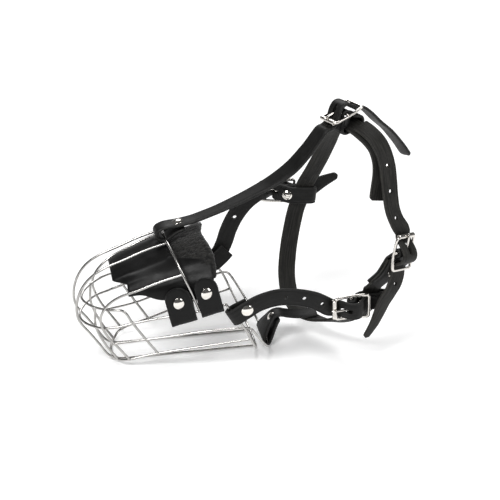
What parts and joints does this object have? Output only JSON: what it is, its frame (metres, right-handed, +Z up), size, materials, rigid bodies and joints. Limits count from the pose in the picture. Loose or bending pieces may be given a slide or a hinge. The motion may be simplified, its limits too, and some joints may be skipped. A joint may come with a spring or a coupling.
{
  "type": "basket muzzle",
  "caption": "Welded wire basket muzzle for a large dog, with a felt-lined leather nose pad and a buckled leather harness round the neck.",
  "frame": {"origin": "middle of the object's box, on the plane that the bottom wires stand on", "axes": "-X towards the nose end of the basket, +X towards the neck strap, +Y to the dog's right side, +Z up"},
  "size_m": [0.3029, 0.1445, 0.222],
  "materials": {
    "wire": "bright nickel-plated wire",
    "buckles": "nickel-plated roller buckles",
    "rivets": "polished nickel rivet caps",
    "strap_leather": "black bridle leather, fine grain",
    "pad_leather": "smooth black chrome-tanned leather",
    "felt": "thick black wool felt"
  },
  "bodies": {
    "basket": {"top_wires": "wire", "side_wires": "wire", "nose_hoop": "wire", "mouth_hoop": "wire", "low_side_wires": "wire", "bottom_hoop": "wire", "chin_wires": "wire", "pad_arch": "wire", "inner_rim": "wire", "outer_guard": "wire", "pad_leather": "pad_leather", "pad_felt": "felt", "front_tabs": "strap_leather", "rear_tabs": "strap_leather", "tab_rivets": "rivets", "forehead_loop": "strap_leather", "forehead_rivet": "rivets", "throat_loop": "strap_leather", "throat_rivet": "rivets"},
    "harness": {"forehead_strap": "strap_leather", "throat_strap": "strap_leather", "neck_strap": "strap_leather", "neck_billet": "strap_leather", "neck_rivet": "rivets", "near_cheek_strap": "strap_leather", "far_cheek_strap": "strap_leather", "cheek_rivets": "rivets", "crown_keeper": "strap_leather", "near_keeper": "strap_leather", "far_keeper": "strap_leather", "neck_keeper": "strap_leather", "keeper_rivets": "rivets", "crown_buckle": "buckles", "near_buckle": "buckles", "far_buckle": "buckles", "neck_buckle": "buckles"},
    "crown_tongue": {"crown_tongue": "buckles"},
    "crown_roller": {"crown_roller": "buckles"},
    "near_tongue": {"near_tongue": "buckles"},
    "near_roller": {"near_roller": "buckles"},
    "far_tongue": {"far_tongue": "buckles"},
    "far_roller": {"far_roller": "buckles"},
    "neck_tongue": {"neck_tongue": "buckles"},
    "neck_roller": {"neck_roller": "buckles"}
  },
  "joints": [
    {"name": "harness_swing", "type": "hinge", "parent": "basket", "child": "harness", "pos_m": [-0.0185, 0.0019, 0.05352], "axis": [0, 1, 0], "range_deg": [-5, 5]},
    {"name": "crown_tongue_hinge", "type": "hinge", "parent": "harness", "child": "crown_tongue", "pos_m": [0.084, 0.0019, 0.21202], "axis": [-0.4067, 0.9135, 0], "range_deg": [0, 40]},
    {"name": "crown_roller_spin", "type": "hinge", "parent": "harness", "child": "crown_roller", "pos_m": [0.07132, -0.00375, 0.2075], "axis": [-0.4067, 0.9135, 0], "continuous": true},
    {"name": "near_tongue_hinge", "type": "hinge", "parent": "harness", "child": "near_tongue", "pos_m": [0.082, -0.0581, 0.05502], "axis": [-0.0349, 0, 0.9994], "range_deg": [0, 40]},
    {"name": "near_roller_spin", "type": "hinge", "parent": "harness", "child": "near_roller", "pos_m": [0.06741, -0.0581, 0.05451], "axis": [-0.0349, 0, 0.9994], "continuous": true},
    {"name": "far_tongue_hinge", "type": "hinge", "parent": "harness", "child": "far_tongue", "pos_m": [0.042, 0.0629, 0.11742], "axis": [-0.0872, 0, -0.9962], "range_deg": [0, 40]},
    {"name": "far_roller_spin", "type": "hinge", "parent": "harness", "child": "far_roller", "pos_m": [0.02746, 0.0629, 0.11869], "axis": [-0.0872, 0, -0.9962], "continuous": true},
    {"name": "neck_tongue_hinge", "type": "hinge", "parent": "harness", "child": "neck_tongue", "pos_m": [0.126, -0.0601, 0.10502], "axis": [0.8823, 0.4496, -0.1392], "range_deg": [0, 40]},
    {"name": "neck_roller_spin", "type": "hinge", "parent": "harness", "child": "neck_roller", "pos_m": [0.12781, -0.05918, 0.11947], "axis": [0.8823, 0.4496, -0.1392], "continuous": true}
  ]
}
